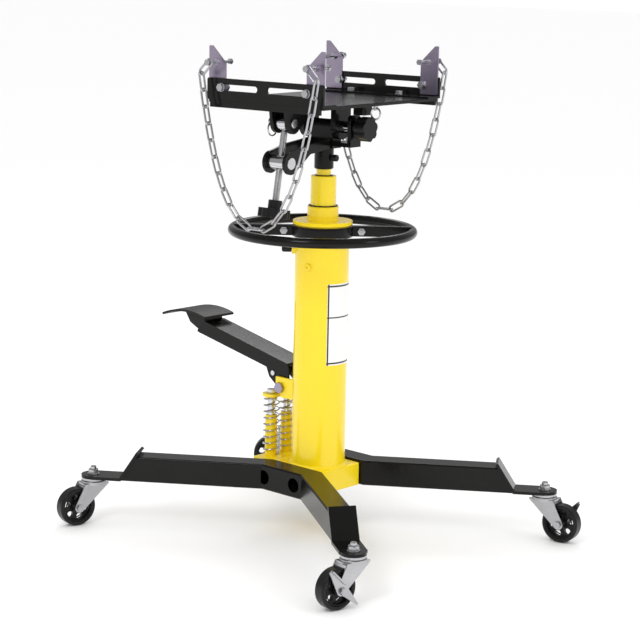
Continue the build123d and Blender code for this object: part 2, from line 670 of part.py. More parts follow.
def from_pivot(points):
    return [(PIVOT_X + x, PIVOT_Z + z) for x, z in points]


def foot_lever():
    """Two cheeks joined by a top plate, like a channel turned over."""
    inside = LEVER_HALF_W - LEVER_T
    under = [(x, z - LEVER_T - 0.2) for x, z in reversed(LEVER_TOP)]
    lever = plate_xz(from_pivot(LEVER_TOP + tuple(under)), -inside, inside)
    for side in (-1, 1):
        y0, y1 = sorted((side * inside, side * LEVER_HALF_W))
        cheek = plate_xz(from_pivot(LEVER_TOP + LEVER_UNDER), y0, y1)
        cheek = fillet(cheek.edges().filter_by(Axis.Y), LEVER_T)
        lever += cheek
    lever -= rod_y(PIVOT_X, PIVOT_Z, -2 * LEVER_HALF_W, 2 * LEVER_HALF_W, PIVOT_R + RUN_GAP)
    lever -= rod_y(ROLLER_X, ROLLER_Z, -2 * LEVER_HALF_W, 2 * LEVER_HALF_W,
                   ROLLER_PIN_R + PRESS_GAP)
    return lever


def lever_roller():
    pin = rod_y(ROLLER_X, ROLLER_Z, -LEVER_HALF_W - 3, LEVER_HALF_W + 3, ROLLER_PIN_R)
    roller = rod_y(ROLLER_X, ROLLER_Z, -10, 10, ROLLER_R)
    roller -= rod_y(ROLLER_X, ROLLER_Z, -11, 11, ROLLER_PIN_R + PRESS_GAP)
    return Compound([pin, roller])


def foot_pad():
    """Arched tread plate with a stub that is held between the lever's cheeks."""
    inside = LEVER_HALF_W - LEVER_T - PRESS_GAP
    top = [(x, z, 0) for x, z in from_pivot(PAD_TOP)]
    under = [(x, z, 0) for x, z in from_pivot(PAD_UNDER)]
    outline = make_face([ThreePointArc(*top), Line(top[-1], under[0]), ThreePointArc(*under),
                         Line(under[-1], top[0])])
    pad = Rot(90, 0, 0) * extrude(outline, 2 * PAD_HALF_Y, dir=(0, 0, 1))
    pad = Pos(0, PAD_HALF_Y, 0) * pad
    return pad + plate_xz(from_pivot(PAD_WEDGE), -inside, inside)


def pump_barrels():
    pieces = []
    for side in (-1, 1):
        y = side * PUMP_Y
        barrel = rod_z(PUMP_X, y, HOUSING_TOP, PUMP_BARREL_TOP, PUMP_BARREL_R)
        barrel = chamfer(barrel.edges().group_by(Axis.Z)[-1], 1)
        barrel += rod_z(PUMP_X, y, HOUSING_TOP - PUMP_SPIGOT, HOUSING_TOP + 1, PUMP_SPIGOT_R)
        barrel -= rod_z(PUMP_X, y, HOUSING_TOP - 8, PUMP_BARREL_TOP + 1, PLUNGER_R + RUN_GAP)
        pieces.append(barrel)
    return Compound(pieces)


def pump_crosshead():
    m = SEAT_MARGIN
    plate = block(PUMP_X - m, PUMP_X + m, -PUMP_Y - m, PUMP_Y + m, SEAT_BOTTOM, SEAT_TOP)
    plate = fillet(plate.edges().filter_by(Axis.Z), SEAT_MARGIN - 3)
    for side in (-1, 1):
        plate -= rod_z(PUMP_X, side * PUMP_Y, SEAT_BOTTOM - 1, SEAT_TOP + 1,
                       PLUNGER_R - 2 + PRESS_GAP)
    top = ROLLER_Z - ROLLER_R - BODY_GAP
    tongue = block(PUMP_X - 4, PUMP_X + m, -9, 9, SEAT_TOP - 1, top)
    return plate + chamfer(tongue.edges().group_by(Axis.Z)[-1], 1)


def pump_plungers():
    pieces = []
    for side in (-1, 1):
        y = side * PUMP_Y
        plunger = rod_z(PUMP_X, y, PLUNGER_BOTTOM, SEAT_BOTTOM, PLUNGER_R)
        plunger += rod_z(PUMP_X, y, SEAT_BOTTOM - 1, SEAT_TOP, PLUNGER_R - 2)
        plunger += hex_z(PUMP_X, y, SEAT_TOP, SEAT_TOP + 8, 17)
        pieces.append(plunger)
    return Compound(pieces)


def pump_springs():
    low = HOUSING_TOP + SPRING_WIRE_R + 0.2
    high = SEAT_BOTTOM - SPRING_WIRE_R - 0.2
    pieces = []
    for side in (-1, 1):
        path = Helix(pitch=(high - low) / SPRING_TURNS, height=high - low, radius=SPRING_R)
        section = Plane(origin=path @ 0, z_dir=path % 0) * Circle(SPRING_WIRE_R)
        coil = sweep(section, path=path, is_frenet=True)
        pieces.append(Pos(PUMP_X, side * PUMP_Y, low) * coil)
    return Compound(pieces)


# ------------------------------------------------------------------ rams
def stage_one_ram():
    ram = rod_z(0, 0, RAM_ONE_BOTTOM, RAM_ONE_TOP, RAM_ONE_R)
    ram = chamfer(ram.edges().group_by(Axis.Z)[-1], 1.2)
    ram -= rod_z(0, 0, 0, RAM_ONE_TOP - RAM_ONE_HEAD, RAM_ONE_R - RAM_ONE_WALL)
    return ram - rod_z(0, 0, 0, RAM_ONE_TOP + 1, RAM_TWO_R + RUN_GAP)


def stage_one_piston():
    low = RAM_ONE_BOTTOM + 2
    ring = rod_z(0, 0, low, low + PISTON_HEIGHT, PISTON_ONE_R)
    return ring - rod_z(0, 0, 0, COLUMN_TOP, RAM_ONE_R + PRESS_GAP)


def stage_two_ram():
    ram = rod_z(0, 0, RAM_TWO_BOTTOM, RAM_TWO_TOP, RAM_TWO_R)
    return chamfer(ram.edges().group_by(Axis.Z)[-1], 1)


def stage_two_piston():
    ring = rod_z(0, 0, RAM_TWO_BOTTOM, RAM_TWO_BOTTOM + PISTON_HEIGHT, PISTON_TWO_R)
    return ring - rod_z(0, 0, 0, COLUMN_TOP, RAM_TWO_R + PRESS_GAP)


# ------------------------------------------------------------------ head (own frame, turned at the end)
def head_socket():
    socket = rod_z(0, 0, SOCKET_BOTTOM, SOCKET_TOP, SOCKET_R)
    socket = chamfer(socket.edges().group_by(Axis.Z)[0], 1.5)
    neck = block(-NECK_HALF_X, NECK_HALF_X, -NECK_HALF_Y, NECK_HALF_Y, SOCKET_TOP, TILT_Z)
    neck += rod_x(0, TILT_Z, -NECK_HALF_X, NECK_HALF_X, NECK_HALF_Y)
    socket += neck
    socket -= rod_z(0, 0, SOCKET_BOTTOM - 1, RAM_TWO_TOP + 0.5, RAM_TWO_R + RUN_GAP)
    socket -= rod_x(0, TILT_Z, -99, 99, TILT_ROD_R + RUN_GAP)
    socket -= rod_x(0, SET_SCREW_Z, 0, SOCKET_R + 1, SET_SCREW_R + RUN_GAP)
    return socket


def screw_arms():
    back = -NECK_HALF_Y
    points = [
        (TRUNNION_Y - 0.4 * ARM_END_R, TRUNNION_Z + 0.91 * ARM_END_R),
        (ARM_BEND_Y, TILT_Z - ARM_BEND_DROP), (back, TILT_Z - ARM_NECK_DROP),
        (back, SOCKET_TOP + 0.5), (ARM_WAIST_Y, SOCKET_TOP - ARM_WAIST_DROP),
        (TRUNNION_Y + 0.52 * ARM_END_R, TRUNNION_Z - 0.85 * ARM_END_R),
    ]
    pieces = []
    for side in (-1, 1):
        x0, x1 = sorted((side * ARM_INSIDE, side * (ARM_INSIDE + ARM_T)))
        arm = plate_yz(points, x0, x1) + rod_x(TRUNNION_Y, TRUNNION_Z, x0, x1, ARM_END_R)
        arm -= rod_x(TRUNNION_Y, TRUNNION_Z, x0 - 1, x1 + 1, TRUNNION_R + RUN_GAP)
        pieces.append(arm)
    return Compound(pieces)


def lock_bracket():
    outer = BRACKET_INSIDE + BRACKET_T
    bottom = block(NECK_HALF_X, outer, -BRACKET_HALF_Y, BRACKET_HALF_Y,
                   BRACKET_BOTTOM, BRACKET_BOTTOM + BRACKET_T)
    upright = block(BRACKET_INSIDE, outer, -BRACKET_HALF_Y, BRACKET_HALF_Y,
                    BRACKET_BOTTOM, BRACKET_TOP)
    upright = fillet(upright.edges().filter_by(Axis.X).group_by(Axis.Z)[-1], 9)
    bracket = bottom + upright
    return bracket - rod_x(0, TILT_Z, 0, 99, TILT_ROD_R + RUN_GAP)


def set_screw():
    screw = rod_x(0, SET_SCREW_Z, RAM_TWO_R + 0.4, SOCKET_R + 6, SET_SCREW_R)
    head = rod_x(0, SET_SCREW_Z, SOCKET_R + 4, SOCKET_R + 13, 6.5)
    return screw + fillet(head.edges(), 1.5)


def screw_trunnion():
    half = ARM_INSIDE + ARM_T + 1
    pin = rod_x(TRUNNION_Y, TRUNNION_Z, -half, half, TRUNNION_R)
    pin = chamfer(pin.edges(), 0.8)
    barrel = rod_x(TRUNNION_Y, TRUNNION_Z, BODY_GAP - ARM_INSIDE, ARM_INSIDE - BODY_GAP,
                   TRUNNION_R + 2)
    pin += chamfer(barrel.edges(), 1)
    return pin - on_screw(rod_z(0, 0, -200, 20, SCREW_R + TRUNNION_SLACK))


def on_screw(shape):
    """Places a piece drawn downwards from the origin along the tilt screw's axis."""
    return Pos(0, CLEVIS_Y, CLEVIS_Z) * Rot(-SCREW_LEAN, 0, 0) * shape


def tilt_screw():
    half = CLEVIS_INSIDE - 1.5
    screw = rod_x(0, 0, -half, half, SCREW_EYE_R)
    screw = chamfer(screw.edges(), 1)
    screw += rod_z(0, 0, -SCREW_LENGTH, -SCREW_EYE_R + 3, SCREW_R)
    screw -= rod_x(0, 0, -99, 99, CLEVIS_PIN_R + RUN_GAP)
    return on_screw(screw)


def tilt_knob():
    bottom = -SCREW_LENGTH - 1
    disc_top = bottom + SCREW_KNOB_T
    hub_top = disc_top + SCREW_HUB_H
    disc = Pos(0, 0, bottom) * lobed_knob(SCREW_KNOB_R, SCREW_KNOB_T, 8)
    hub = rod_z(0, 0, disc_top - 2, hub_top, SCREW_HUB_R)
    knob = disc + chamfer(hub.edges().group_by(Axis.Z)[-1], 1)
    knob -= rod_z(0, 0, -SCREW_LENGTH - 0.1, hub_top + 1, SCREW_R + PRESS_GAP)
    return on_screw(knob)


def tilt_rod():
    outer = LUG_INSIDE + LUG_T
    rod = rod_x(0, TILT_Z, -outer - 2, LOCK_KNOB_START + 8, TILT_ROD_R)
    head = hex_x(0, TILT_Z, -outer - 9, -outer - BODY_GAP, 24)
    sleeve = rod_x(0, TILT_Z, outer + BODY_GAP, BRACKET_INSIDE - RUN_GAP, TILT_SLEEVE_R)
    return rod + head + sleeve


def lock_knob():
    hub = rod_x(0, TILT_Z, BRACKET_INSIDE + BRACKET_T + BODY_GAP, LOCK_KNOB_START + 2, SCREW_HUB_R)
    disc = Rot(0, 90, 0) * lobed_knob(LOCK_KNOB_R, LOCK_KNOB_T, 7)
    knob = Pos(LOCK_KNOB_START, 0, TILT_Z) * disc + hub
    return knob - rod_x(0, TILT_Z, 0, LOCK_KNOB_START + 8.1, TILT_ROD_R + PRESS_GAP)


# ------------------------------------------------------------------ saddle (head frame)
def saddle_plate():
    plate = block(-SADDLE_HALF_X, SADDLE_HALF_X, -SADDLE_HALF_Y, SADDLE_HALF_Y,
                  SADDLE_UNDER, RAIL_SEAT)
    plate = fillet(plate.edges().filter_by(Axis.Z), SADDLE_CORNER_R)
    for side in (-1, 1):
        y0, y1 = sorted((side * (SADDLE_HALF_Y - SADDLE_T), side * SADDLE_HALF_Y))
        plate += block(SADDLE_CORNER_R - SADDLE_HALF_X, SADDLE_HALF_X - SADDLE_CORNER_R, y0, y1,
                       SADDLE_UNDER - SADDLE_LIP, SADDLE_UNDER)
    plate += block(-SADDLE_HALF_X + 2, SADDLE_HALF_X - 2, -SADDLE_PAD_HALF_Y,
                   SADDLE_PAD_HALF_Y, RAIL_SEAT, SADDLE_TOP)
    for x, side in rail_foot_bolts():
        plate -= rod_z(x, side * rail_bolt_y(), SADDLE_UNDER - 1, SADDLE_TOP + 1,
                       BOLT_R + PRESS_GAP)
    return plate


def rail_bolt_y():
    return RAIL_INSIDE - RAIL_FOOT_W / 2 + RAIL_T / 2


def rail_foot_bolts():
    return [(x, side) for x in RAIL_FOOT_BOLT_X for side in (-1, 1)]


def saddle_lugs():
    """Plates welded under the saddle: two pivot lugs, the clevis ears and a stop block."""
    pieces = []
    for side in (-1, 1):
        x0, x1 = sorted((side * LUG_INSIDE, side * (LUG_INSIDE + LUG_T)))
        lug = block(x0, x1, -LUG_R, LUG_R, TILT_Z, SADDLE_UNDER)
        lug += rod_x(0, TILT_Z, x0, x1, LUG_R)
        lug -= rod_x(0, TILT_Z, x0 - 1, x1 + 1, TILT_ROD_R + RUN_GAP)
        pieces.append(lug)
        x0, x1 = sorted((side * CLEVIS_INSIDE, side * (CLEVIS_INSIDE + CLEVIS_T)))
        ear = plate_yz([(CLEVIS_Y - CLEVIS_END_R, CLEVIS_Z), (CLEVIS_Y - 25, SADDLE_UNDER),
                        (CLEVIS_Y + 60, SADDLE_UNDER), (CLEVIS_Y + 60, SADDLE_UNDER - 12),
                        (CLEVIS_Y + 14, CLEVIS_Z - 14)], x0, x1)
        ear += rod_x(CLEVIS_Y, CLEVIS_Z, x0, x1, CLEVIS_END_R)
        ear -= rod_x(CLEVIS_Y, CLEVIS_Z, x0 - 1, x1 + 1, CLEVIS_PIN_R + PRESS_GAP)
        pieces.append(ear)
    under = TILT_Z + LOCK_KNOB_R + 2.5
    start = BRACKET_INSIDE + BRACKET_T + 2
    stop = block(start, start + 26, -14, 14, under, SADDLE_UNDER)
    pieces.append(fillet(stop.edges().filter_by(Axis.Z), 3))
    return Compound(pieces)


def clevis_ring(thick):
    """Split ring that hangs through the end of the clevis pin."""
    x = -ARM_INSIDE - ARM_T - CLEVIS_RING_OUT
    return Pos(x, CLEVIS_Y, CLEVIS_Z - SPLIT_RING_R) * Rot(0, 90, 0) * Torus(SPLIT_RING_R, thick)


def clevis_pin():
    ring_end = -ARM_INSIDE - ARM_T - CLEVIS_RING_OUT - 4
    pin = rod_x(CLEVIS_Y, CLEVIS_Z, ring_end, CLEVIS_INSIDE + CLEVIS_T + 2.5, CLEVIS_PIN_R)
    return chamfer(pin.edges(), 1) - clevis_ring(1.9)


def hanging_ring(thick):
    place = Pos(HANG_RING_X, 0, SADDLE_UNDER - HANG_RING_R - 5.5) * Rot(90, 0, 0)
    return place * Torus(HANG_RING_R, thick)


def pull_rings():
    """Split ring in the clevis pin, and a ring in a tab under the saddle's edge."""
    tab = block(HANG_RING_X - 2, HANG_RING_X + 2, -5, 5, SADDLE_UNDER - 10, SADDLE_UNDER)
    tab = fillet(tab.edges().filter_by(Axis.X).group_by(Axis.Z)[0], 3)
    return Compound([clevis_ring(1.5), hanging_ring(1.8), tab - hanging_ring(2.3)])


def rail_slot(x0, x1):
    r = SLOT_R
    cut = block(x0 + r, x1 - r, RAIL_INSIDE - 1, RAIL_OUTSIDE + 1, SLOT_Z - r, SLOT_Z + r)
    for x in (x0 + r, x1 - r):
        cut += rod_y(x, SLOT_Z, RAIL_INSIDE - 1, RAIL_OUTSIDE + 1, r)
    return cut


def rail(side):
    half = SADDLE_HALF_X
    upright = block(-half, half + 2, RAIL_INSIDE, RAIL_OUTSIDE, RAIL_SEAT, RAIL_TOP)
    upright = fillet(upright.edges().filter_by(Axis.Y).group_by(Axis.Z)[-1], 4)
    foot = block(-half, half + 2, RAIL_OUTSIDE - RAIL_FOOT_W, RAIL_OUTSIDE,
                 RAIL_SEAT, RAIL_SEAT + RAIL_FOOT_T)
    piece = upright + foot
    for x0, x1 in SLOT_SPANS:
        piece -= rail_slot(x0, x1)
    for x in RAIL_FOOT_BOLT_X:
        piece -= rod_z(x, rail_bolt_y(), RAIL_SEAT - 1, RAIL_TOP, BOLT_R + PRESS_GAP)
    return piece if side > 0 else mirrored_y(piece)


def end_plate(x_sign, y_sign):
    outer = SADDLE_HALF_X
    points = [
        (END_PLATE_IN, END_PLATE_BOTTOM), (outer, END_PLATE_BOTTOM), (outer, END_PLATE_TIP),
        (outer - END_PLATE_TIP_W, END_PLATE_TIP), (END_PLATE_IN, END_PLATE_SHOULDER),
    ]
    plate = plate_xz(points, RAIL_INSIDE - END_PLATE_T, RAIL_INSIDE)
    plate = fillet(plate.edges().filter_by(Axis.Y), 1.5)
    plate -= rod_y(END_BOLT_X, SLOT_Z, 0, 999, BOLT_R + PRESS_GAP)
    plate -= rod_y(CHAIN_BOLT_X, CHAIN_BOLT_Z, 0, 999, CHAIN_BOLT_R + PRESS_GAP)
    plate = plate if x_sign > 0 else mirrored_x(plate)
    return plate if y_sign > 0 else mirrored_y(plate)


def end_plates():
    return Compound([end_plate(x, y) for x in (-1, 1) for y in (-1, 1)])


def end_plate_fasteners():
    """Slot bolt and chain bolt of the corner on the +x, +y side."""
    inside = RAIL_INSIDE - END_PLATE_T
    outside = RAIL_OUTSIDE + WASHER_T
    seat = inside - WASHER_T
    clamp = rod_y(END_BOLT_X, SLOT_Z, inside - 8, RAIL_OUTSIDE, BOLT_R)
    clamp += rod_y(END_BOLT_X, SLOT_Z, RAIL_OUTSIDE, outside, 2 * BOLT_R)
    clamp += hex_y(END_BOLT_X, SLOT_Z, outside, outside + 5.4, BOLT_HEX)
    nut = rod_y(END_BOLT_X, SLOT_Z, seat, inside, 2 * BOLT_R + 0.5)
    nut += hex_y(END_BOLT_X, SLOT_Z, seat - 5.9, seat, BOLT_HEX)
    nut -= rod_y(END_BOLT_X, SLOT_Z, 0, 999, BOLT_R + PRESS_GAP)
    r = CHAIN_BOLT_R
    pin = rod_y(CHAIN_BOLT_X, CHAIN_BOLT_Z, inside - 32, CHAIN_Y + 9, r)
    pin += hex_y(CHAIN_BOLT_X, CHAIN_BOLT_Z, inside - 36, inside - 31, 10)
    pieces = [clamp, nut, pin]
    for y0, y1, across in ((inside - 5, inside, 11), (RAIL_INSIDE, RAIL_INSIDE + 5, 11),
                           (CHAIN_Y + 4, CHAIN_Y + 8.5, 11)):
        lock = hex_y(CHAIN_BOLT_X, CHAIN_BOLT_Z, y0, y1, across)
        pieces.append(lock - rod_y(CHAIN_BOLT_X, CHAIN_BOLT_Z, 0, 999, r + PRESS_GAP))
    return pieces


def saddle_bolts():
    pieces = []
    for piece in end_plate_fasteners():
        for x_sign in (-1, 1):
            turned = piece if x_sign > 0 else mirrored_x(piece)
            pieces += [turned, mirrored_y(turned)]
    for x, side in rail_foot_bolts():
        y = side * rail_bolt_y()
        top = RAIL_SEAT + RAIL_FOOT_T
        seat = top + WASHER_T
        bolt = rod_z(x, y, SADDLE_UNDER - 9, top, BOLT_R) + rod_z(x, y, top, seat, 2 * BOLT_R)
        bolt += hex_z(x, y, seat, seat + 4.9, BOLT_HEX)
        nut = hex_z(x, y, SADDLE_UNDER - 6.5, SADDLE_UNDER, BOLT_HEX)
        nut -= rod_z(x, y, 0, 999, BOLT_R + PRESS_GAP)
        pieces += [bolt, nut]
    return Compound(pieces)


# ------------------------------------------------------------------ chains (head frame)
def hang_from_joint():
    """Centre of a link's end wire, beyond the point where it meets its neighbour."""
    return (LINK_INSIDE_LENGTH - LINK_PITCH) / 2 + LINK_WIRE_R


def chain_joints():
    """Points (x, z) where the links of a hanging chain meet.

    The two end links lean out over the rails' ends, and the others hang on a catenary.
    """
    lean = math.radians(CHAIN_LEAN)
    above = CHAIN_BOLT_R + LINK_WIRE_R + HANG_GAP - hang_from_joint()
    end = (CHAIN_BOLT_X - above * math.sin(lean), CHAIN_BOLT_Z + above * math.cos(lean))
    span = end[0] + LINK_PITCH * math.sin(lean)
    top = end[1] - LINK_PITCH * math.cos(lean)
    count = LINK_COUNT - 2
    length = LINK_PITCH * count
    low, high = span / 12, span
    for _ in range(60):
        a = (low + high) / 2
        if 2 * a * math.sinh(span / a) > length:
            low = a
        else:
            high = a
    depth = a * math.cosh(span / a)
    points = [(-end[0], end[1])]
    for number in range(count + 1):
        s = length * (number / count - 0.5)
        x = a * math.asinh(s / a)
        points.append((x, top - depth + a * math.cosh(x / a)))
    return points + [end]


def link_width():
    """Width of a link between the middles of its two wires."""
    return LINK_INSIDE_WIDTH + 2 * LINK_WIRE_R


def hang_point():
    """Middle (x, z) of the straight wire on top of the +x end link, which rests on the bolt."""
    lean = math.radians(CHAIN_LEAN)
    up = CHAIN_BOLT_R + LINK_WIRE_R + HANG_GAP - link_width() / 2
    return (CHAIN_BOLT_X - up * math.sin(lean),
            CHAIN_BOLT_Z + up * math.cos(lean) + link_width() / 2)


def chain_link():
    """One long link, lying flat with its length along x."""
    straight = LINK_INSIDE_LENGTH - LINK_INSIDE_WIDTH
    r = link_width() / 2
    half = straight / 2
    link = rod_x(r, 0, -half, half, LINK_WIRE_R) + rod_x(-r, 0, -half, half, LINK_WIRE_R)
    section = Plane(origin=(0, r, 0), z_dir=(1, 0, 0)) * Circle(LINK_WIRE_R)
    bend = revolve(section, Axis.Z, -180)
    if bend.bounding_box().center().X < 0:
        bend = mirrored_x(bend)
    return link + Pos(half, 0, 0) * bend + Pos(-half, 0, 0) * mirrored_x(bend)


def chain(side):
    pieces = []
    points = chain_joints()
    link = chain_link()
    for number in range(LINK_COUNT):
        (xa, za), (xb, zb) = points[number], points[number + 1]
        slope = math.degrees(math.atan2(zb - za, xb - xa))
        roll = 90 if number % 2 == 0 else 0
        place = Pos((xa + xb) / 2, side * CHAIN_Y, (za + zb) / 2) * Rot(0, -slope, 0)
        pieces.append(place * Rot(roll, 0, 0) * link)
    x, z = hang_point()
    pieces[0] += rod_x(side * CHAIN_Y, z, -x - 3, -x + 3, LINK_WELD_R)
    pieces[-1] += rod_x(side * CHAIN_Y, z, x - 3, x + 3, LINK_WELD_R)
    return Compound(pieces)


# ------------------------------------------------------------------ casters
def caster_place(name):
    x_sign, y_sign, trail, _ = CASTERS[name]
    return Pos(x_sign * CASTER_X, y_sign * CASTER_Y, 0) * Rot(0, 0, trail)


def fork_cheek(y0, y1):
    top = [(-CROWN_R, CROWN_TOP), (CROWN_R + 2, CROWN_TOP), (CROWN_R + 2, CROWN_BOTTOM),
           (-CROWN_R, CROWN_BOTTOM)]
    outline = Polyline(top, close=True).edges()
    outline += (Pos(CASTER_TRAIL, AXLE_Z) * Circle(CHEEK_END_R)).edges()
    cheek = extrude(make_hull(outline), y1 - y0, dir=(0, 0, 1))
    return Pos(0, y1, 0) * Rot(90, 0, 0) * cheek


def caster_fork(name):
    brake = CASTERS[name][3]
    fork = rod_z(0, 0, CROWN_BOTTOM, RACE_LOW_TOP, CROWN_R)
    fork = fillet(fork.edges().group_by(Axis.Z)[-1], 1.6)
    fork += block(-CROWN_R + 4, CROWN_R + 2, -CHEEK_OUTSIDE, CHEEK_OUTSIDE, CROWN_BOTTOM, CROWN_TOP)
    fork += fork_cheek(CHEEK_INSIDE, CHEEK_OUTSIDE) + fork_cheek(-CHEEK_OUTSIDE, -CHEEK_INSIDE)
    fork -= rod_z(0, 0, 0, RACE_LOW_TOP + 1, STEM_R + RUN_GAP)
    fork -= rod_y(CASTER_TRAIL, AXLE_Z, -99, 99, AXLE_R + PRESS_GAP)
    far = CHEEK_OUTSIDE + (BRAKE_T + 0.6 if brake else 0)
    axle = rod_y(CASTER_TRAIL, AXLE_Z, -CHEEK_OUTSIDE - 4, far + 5, AXLE_R)
    axle += hex_y(CASTER_TRAIL, AXLE_Z, -CHEEK_OUTSIDE - 4.5, -CHEEK_OUTSIDE, AXLE_HEX)
    axle += hex_y(CASTER_TRAIL, AXLE_Z, far, far + 4.5, AXLE_HEX)
    return caster_place(name) * Compound([fork, axle])


def caster_wheel(name):
    r = WHEEL_R
    tread = rod_y(0, 0, -WHEEL_HALF_W, WHEEL_HALF_W, r)
    tread = fillet(tread.edges(), 3.5)
    wheel = tread - rod_y(0, 0, -WHEEL_HALF_W - 1, -WHEEL_WEB_HALF, r - WHEEL_RIM)
    wheel -= rod_y(0, 0, WHEEL_WEB_HALF, WHEEL_HALF_W + 1, r - WHEEL_RIM)
    hub_half = CHEEK_INSIDE - BODY_GAP
    wheel += rod_y(0, 0, -hub_half, hub_half, WHEEL_HUB_R)
    for number in range(6):
        angle = math.radians(60 * number + 15)
        wheel -= rod_y(WHEEL_HOLE_CIRCLE * math.cos(angle), WHEEL_HOLE_CIRCLE * math.sin(angle),
                       -99, 99, WHEEL_HOLE_R)
    wheel -= rod_y(0, 0, -99, 99, AXLE_R + RUN_GAP)
    return caster_place(name) * Pos(CASTER_TRAIL, 0, AXLE_Z) * wheel


def caster_brake(name):
    """Pressed lever that turns on the axle outside one cheek."""
    near = CHEEK_OUTSIDE + 0.3
    corners = [(CASTER_TRAIL + x, AXLE_Z + z) for x, z in BRAKE_TIP + BRAKE_TAIL]
    plate = plate_xz(corners, near, near + BRAKE_T)
    plate = fillet(plate.edges().filter_by(Axis.Y), 1.2)
    outer, inner = corners[1:3]
    lip = plate_xz([outer, inner, (inner[0] + 2, inner[1] - 1.6),
                    (outer[0] + 1.6, outer[1] - 1.8)], near, near + 7)
    plate += lip
    plate -= rod_y(CASTER_TRAIL, AXLE_Z, 0, 99, AXLE_R + RUN_GAP)
    return caster_place(name) * plate


def at_casters(make):
    pieces = []
    for name in CASTERS:
        pieces += [caster_place(name) * piece for piece in make()]
    return Compound(pieces)


def caster_stem():
    stem = rod_z(0, 0, CROWN_BOTTOM - 0.3, LEG_BOTTOM + CASTER_PLATE_T + STEM_SHOWS, STEM_R)
    stem = chamfer(stem.edges().group_by(Axis.Z)[-1], 1)
    stem += rod_z(0, 0, CROWN_BOTTOM - 2.6, CROWN_BOTTOM - 0.3, 10)
    race = rod_z(0, 0, RACE_LOW_TOP + 0.3, LEG_BOTTOM, CROWN_R - 1)
    race = fillet(race.edges().group_by(Axis.Z)[0], 1.6)
    race -= rod_z(0, 0, 0, 200, STEM_R + PRESS_GAP)
    return [stem, race]


def caster_nut():
    seat = LEG_BOTTOM + CASTER_PLATE_T
    washer = rod_z(0, 0, seat, seat + 1.6, 12)
    nut = hex_z(0, 0, seat + 1.6, seat + 10, 19)
    nut &= chamfer(rod_z(0, 0, seat + 1.6, seat + 10, 10.6).edges().group_by(Axis.Z)[-1], 1.4)
    hole = rod_z(0, 0, 0, 200, STEM_R + PRESS_GAP)
    return [washer - hole, nut - hole]


# ------------------------------------------------------------------ assembly
def turned(shape):
    return Rot(0, 0, HEAD_TURN) * shape


def all_nodes():
    nodes = {
        "base_housing": base_housing(),
        "pump_manifold": pump_manifold(),
        "leg_frame_left": leg_frame(-1),
        "leg_frame_right": leg_frame(1),
        "leg_bolts": leg_bolts(),
        "caster_stems": at_casters(caster_stem),
        "caster_nuts": at_casters(caster_nut),
        "reservoir_tube": reservoir_tube(),
        "pressure_tube": pressure_tube(),
        "top_cap": top_cap(),
        "gland_collar": gland_collar(),
        "handle_ring": handle_ring(),
        "ring_clamp": ring_clamp(),
        "ring_clamp_bolts": ring_clamp_bolts(),
        "vent_plug": vent_plug(),
        "blank_label": blank_label(),
        "release_knob": release_knob(),
        "lever_ears": lever_ears(),
        "lever_pivot_bolt": lever_pivot_bolt(),
        "foot_lever": foot_lever(),
        "foot_pad": foot_pad(),
        "lever_roller": lever_roller(),
        "pump_barrels": pump_barrels(),
        "pump_crosshead": pump_crosshead(),
        "pump_plungers": pump_plungers(),
        "pump_springs": pump_springs(),
        "stage_one_ram": stage_one_ram(),
        "stage_one_piston": stage_one_piston(),
        "stage_two_ram": stage_two_ram(),
        "stage_two_piston": stage_two_piston(),
        "head_socket": turned(head_socket()),
        "screw_arms": turned(screw_arms()),
        "lock_bracket": turned(lock_bracket()),
        "set_screw": turned(set_screw()),
        "screw_trunnion": turned(screw_trunnion()),
        "tilt_screw": turned(tilt_screw()),
        "tilt_knob": turned(tilt_knob()),
        "tilt_rod": turned(tilt_rod()),
        "lock_knob": turned(lock_knob()),
        "saddle_plate": turned(saddle_plate()),
        "saddle_lugs": turned(saddle_lugs()),
        "clevis_pin": turned(clevis_pin()),
        "pull_rings": turned(pull_rings()),
        "rail_left": turned(rail(-1)),
        "rail_right": turned(rail(1)),
        "end_plates": turned(end_plates()),
        "saddle_bolts": turned(saddle_bolts()),
        "chain_left": turned(chain(-1)),
        "chain_right": turned(chain(1)),
    }
    for name in CASTERS:
        nodes["caster_fork_" + name] = caster_fork(name)
        nodes["caster_wheel_" + name] = caster_wheel(name)
        if CASTERS[name][3]:
            nodes["caster_brake_" + name] = caster_brake(name)
    return nodes


def main():
    os.makedirs("parts", exist_ok=True)
    nodes = all_nodes()
    box = Compound(list(nodes.values())).bounding_box()
    shift = Pos(-(box.min.X + box.max.X) / 2, -(box.min.Y + box.max.Y) / 2, -box.min.Z)
    print("column axis at", [round(v, 4) for v in shift.position])
    print("chain hinge at", round(hang_point()[1], 4))
    for name, shape in nodes.items():
        export_step(shift * shape, "parts/" + name + ".step")


main()
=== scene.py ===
# %% [markdown]
# # A transmission jack, finished in Blender
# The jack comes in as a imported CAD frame. Every plate, tube and bolt already has its real shape
# and place, so this lesson adds what the CAD leaves out: paint, plating, threads, welds and light.

# %% Load the frame
import json
import math

import bmesh
import bpy
from mathutils import Matrix, Vector


